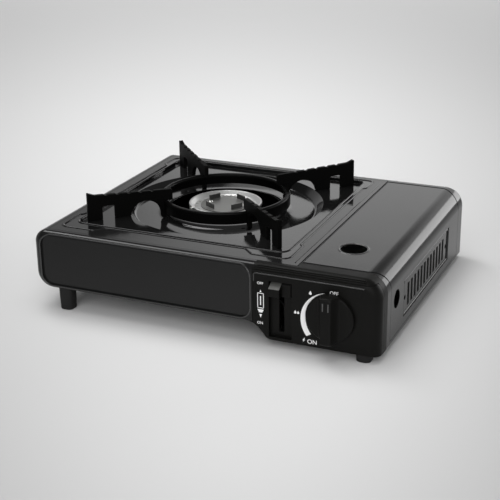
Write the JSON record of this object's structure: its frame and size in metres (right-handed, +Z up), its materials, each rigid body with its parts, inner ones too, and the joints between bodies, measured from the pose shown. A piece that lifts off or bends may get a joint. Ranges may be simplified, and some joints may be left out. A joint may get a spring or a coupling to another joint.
{
  "type": "portable gas stove",
  "caption": "Low tabletop butane stove with a lift-off pan support and drip tray, round burner, turn knob, slide lever and a hinged lid over the cartridge bay.",
  "frame": {"origin": "centre of the footprint box on the table, knob included", "axes": "+X right along the length, -Y towards the controls, +Z up"},
  "size_m": [0.343, 0.294, 0.1012],
  "materials": {
    "casing_paint": "gloss black paint",
    "tray_enamel": "gloss black enamel",
    "pan_enamel": "semi-gloss black enamel",
    "panel_plastic": "fine matte",
    "foot_rubber": "matte",
    "burner_aluminium": "cast satin",
    "bright_steel": "zinc plated",
    "plain_sheet": "galvanised sheet",
    "brass": "machined",
    "inner_plastic": "moulded",
    "ceramic": "glazed ceramic",
    "seal_rubber": "soft"
  },
  "bodies": {
    "stove_body": {"body_shell": "casing_paint", "top_plate": "casing_paint", "base_plate": "casing_paint", "heat_shield": "plain_sheet", "control_panel": "panel_plastic", "igniter_body": "inner_plastic", "igniter_lead": "inner_plastic", "cartridge_guide_left": "plain_sheet", "cartridge_guide_right": "plain_sheet", "gas_pipe": "brass", "gas_jet": "brass", "mixing_tube": "plain_sheet", "burner_body": "burner_aluminium", "burner_head": "burner_aluminium", "burner_cap": "bright_steel", "burner_bracket": "bright_steel", "burner_screws": "bright_steel", "electrode": "bright_steel", "electrode_insulator": "ceramic", "foot_front_left": "foot_rubber", "foot_rear_left": "foot_rubber", "foot_front_right": "foot_rubber", "foot_rear_right": "foot_rubber", "regulator_body": "burner_aluminium", "regulator_cover": "burner_aluminium", "gas_inlet": "brass", "inlet_seal": "seal_rubber", "regulator_bracket": "plain_sheet", "regulator_screws": "bright_steel", "hinge_ear_front": "bright_steel", "hinge_ear_rear": "bright_steel", "hinge_pins": "bright_steel", "base_screws": "bright_steel", "panel_screws": "bright_steel"},
    "lid": {"cartridge_lid": "casing_paint", "lid_hinge_front": "bright_steel", "lid_hinge_rear": "bright_steel"},
    "knob": {"gas_knob": "panel_plastic", "valve_spindle": "bright_steel", "igniter_cam": "inner_plastic"},
    "plunger": {"igniter_plunger": "inner_plastic"},
    "lever": {"cartridge_lever": "panel_plastic", "lever_slider": "plain_sheet", "lever_pin": "bright_steel"},
    "pusher": {"cartridge_pusher": "plain_sheet"},
    "tray": {"drip_tray": "tray_enamel"},
    "pan_support": {"pan_ring": "pan_enamel", "pan_arm_front_right": "pan_enamel", "pan_arm_rear_right": "pan_enamel", "pan_arm_rear_left": "pan_enamel", "pan_arm_front_left": "pan_enamel"}
  },
  "joints": [
    {"name": "lid_hinge", "type": "hinge", "parent": "stove_body", "child": "lid", "pos_m": [0.0987, 0, 0.073], "axis": [0, -1, 0], "range_deg": [0, 95]},
    {"name": "knob_turn", "type": "hinge", "parent": "stove_body", "child": "knob", "pos_m": [0.1274, -0.133, 0.0386], "axis": [0, -1, 0], "range_deg": [0, 148]},
    {"name": "plunger_slide", "type": "slide", "parent": "stove_body", "child": "plunger", "axis": [1, 0, 0], "range_m": [0, 0.0051]},
    {"name": "lever_slide", "type": "slide", "parent": "stove_body", "child": "lever", "axis": [0, 0, -1], "range_m": [0, 0.036], "stiffness_N_per_m": 60, "springref_m": -0.03},
    {"name": "pusher_slide", "type": "slide", "parent": "stove_body", "child": "pusher", "axis": [0, -1, 0], "range_m": [0, 0.0051]},
    {"name": "tray_lift", "type": "slide", "parent": "stove_body", "child": "tray", "axis": [0, 0, 1], "range_m": [0, 0.06]},
    {"name": "pan_support_lift", "type": "slide", "parent": "tray", "child": "pan_support", "axis": [0, 0, 1], "range_m": [0, 0.06]}
  ],
  "couplings": [
    {"joint": "plunger_slide", "follows": "knob_turn", "m_per_rad": 0.0019357},
    {"joint": "pusher_slide", "follows": "lever_slide", "ratio": 0.13889}
  ]
}
